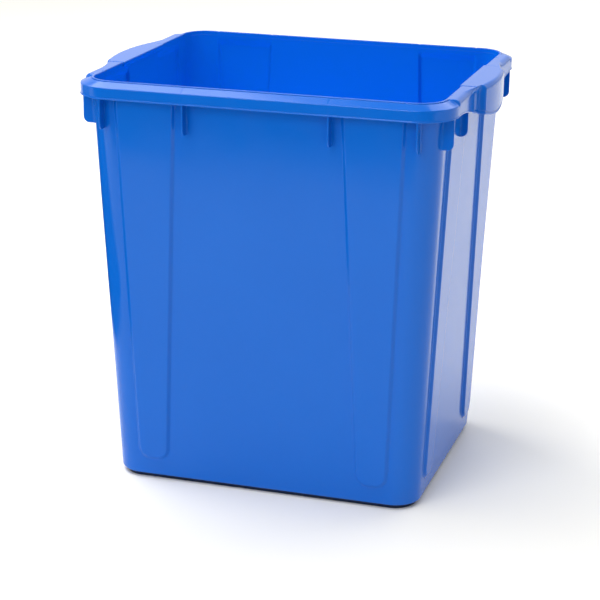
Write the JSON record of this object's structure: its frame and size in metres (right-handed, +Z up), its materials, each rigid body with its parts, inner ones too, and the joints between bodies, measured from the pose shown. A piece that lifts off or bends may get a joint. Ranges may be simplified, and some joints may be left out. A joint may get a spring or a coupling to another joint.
{
  "type": "wastebasket",
  "caption": "Tall rectangular open-top plastic wastebasket with tapered walls, raised wall panels, a turned-down rim on short ribs and a moulded hand grip at each end.",
  "frame": {"origin": "on the ground, under the middle of the basket", "axes": "+Z up; X along the long side, through both hand grips; -Y is the front, though front and back are alike"},
  "size_m": [0.4434, 0.358, 0.46],
  "materials": {
    "blue_polypropylene": "satin"
  },
  "bodies": {
    "root": {"back_left_corner": "blue_polypropylene", "back_left_rim_corner": "blue_polypropylene", "back_rib_1": "blue_polypropylene", "back_rib_2": "blue_polypropylene", "back_rib_3": "blue_polypropylene", "back_rib_4": "blue_polypropylene", "back_right_corner": "blue_polypropylene", "back_right_rim_corner": "blue_polypropylene", "back_rim": "blue_polypropylene", "back_wall": "blue_polypropylene", "floor_panel": "blue_polypropylene", "foot_ring": "blue_polypropylene", "front_left_corner": "blue_polypropylene", "front_left_rim_corner": "blue_polypropylene", "front_rib_1": "blue_polypropylene", "front_rib_2": "blue_polypropylene", "front_rib_3": "blue_polypropylene", "front_rib_4": "blue_polypropylene", "front_right_corner": "blue_polypropylene", "front_right_rim_corner": "blue_polypropylene", "front_rim": "blue_polypropylene", "front_wall": "blue_polypropylene", "left_back_saddle": "blue_polypropylene", "left_front_saddle": "blue_polypropylene", "left_grip": "blue_polypropylene", "left_rib_1": "blue_polypropylene", "left_rib_2": "blue_polypropylene", "left_rib_3": "blue_polypropylene", "left_rib_4": "blue_polypropylene", "left_wall": "blue_polypropylene", "right_back_saddle": "blue_polypropylene", "right_front_saddle": "blue_polypropylene", "right_grip": "blue_polypropylene", "right_rib_1": "blue_polypropylene", "right_rib_2": "blue_polypropylene", "right_rib_3": "blue_polypropylene", "right_rib_4": "blue_polypropylene", "right_wall": "blue_polypropylene"}
  },
  "joints": []
}
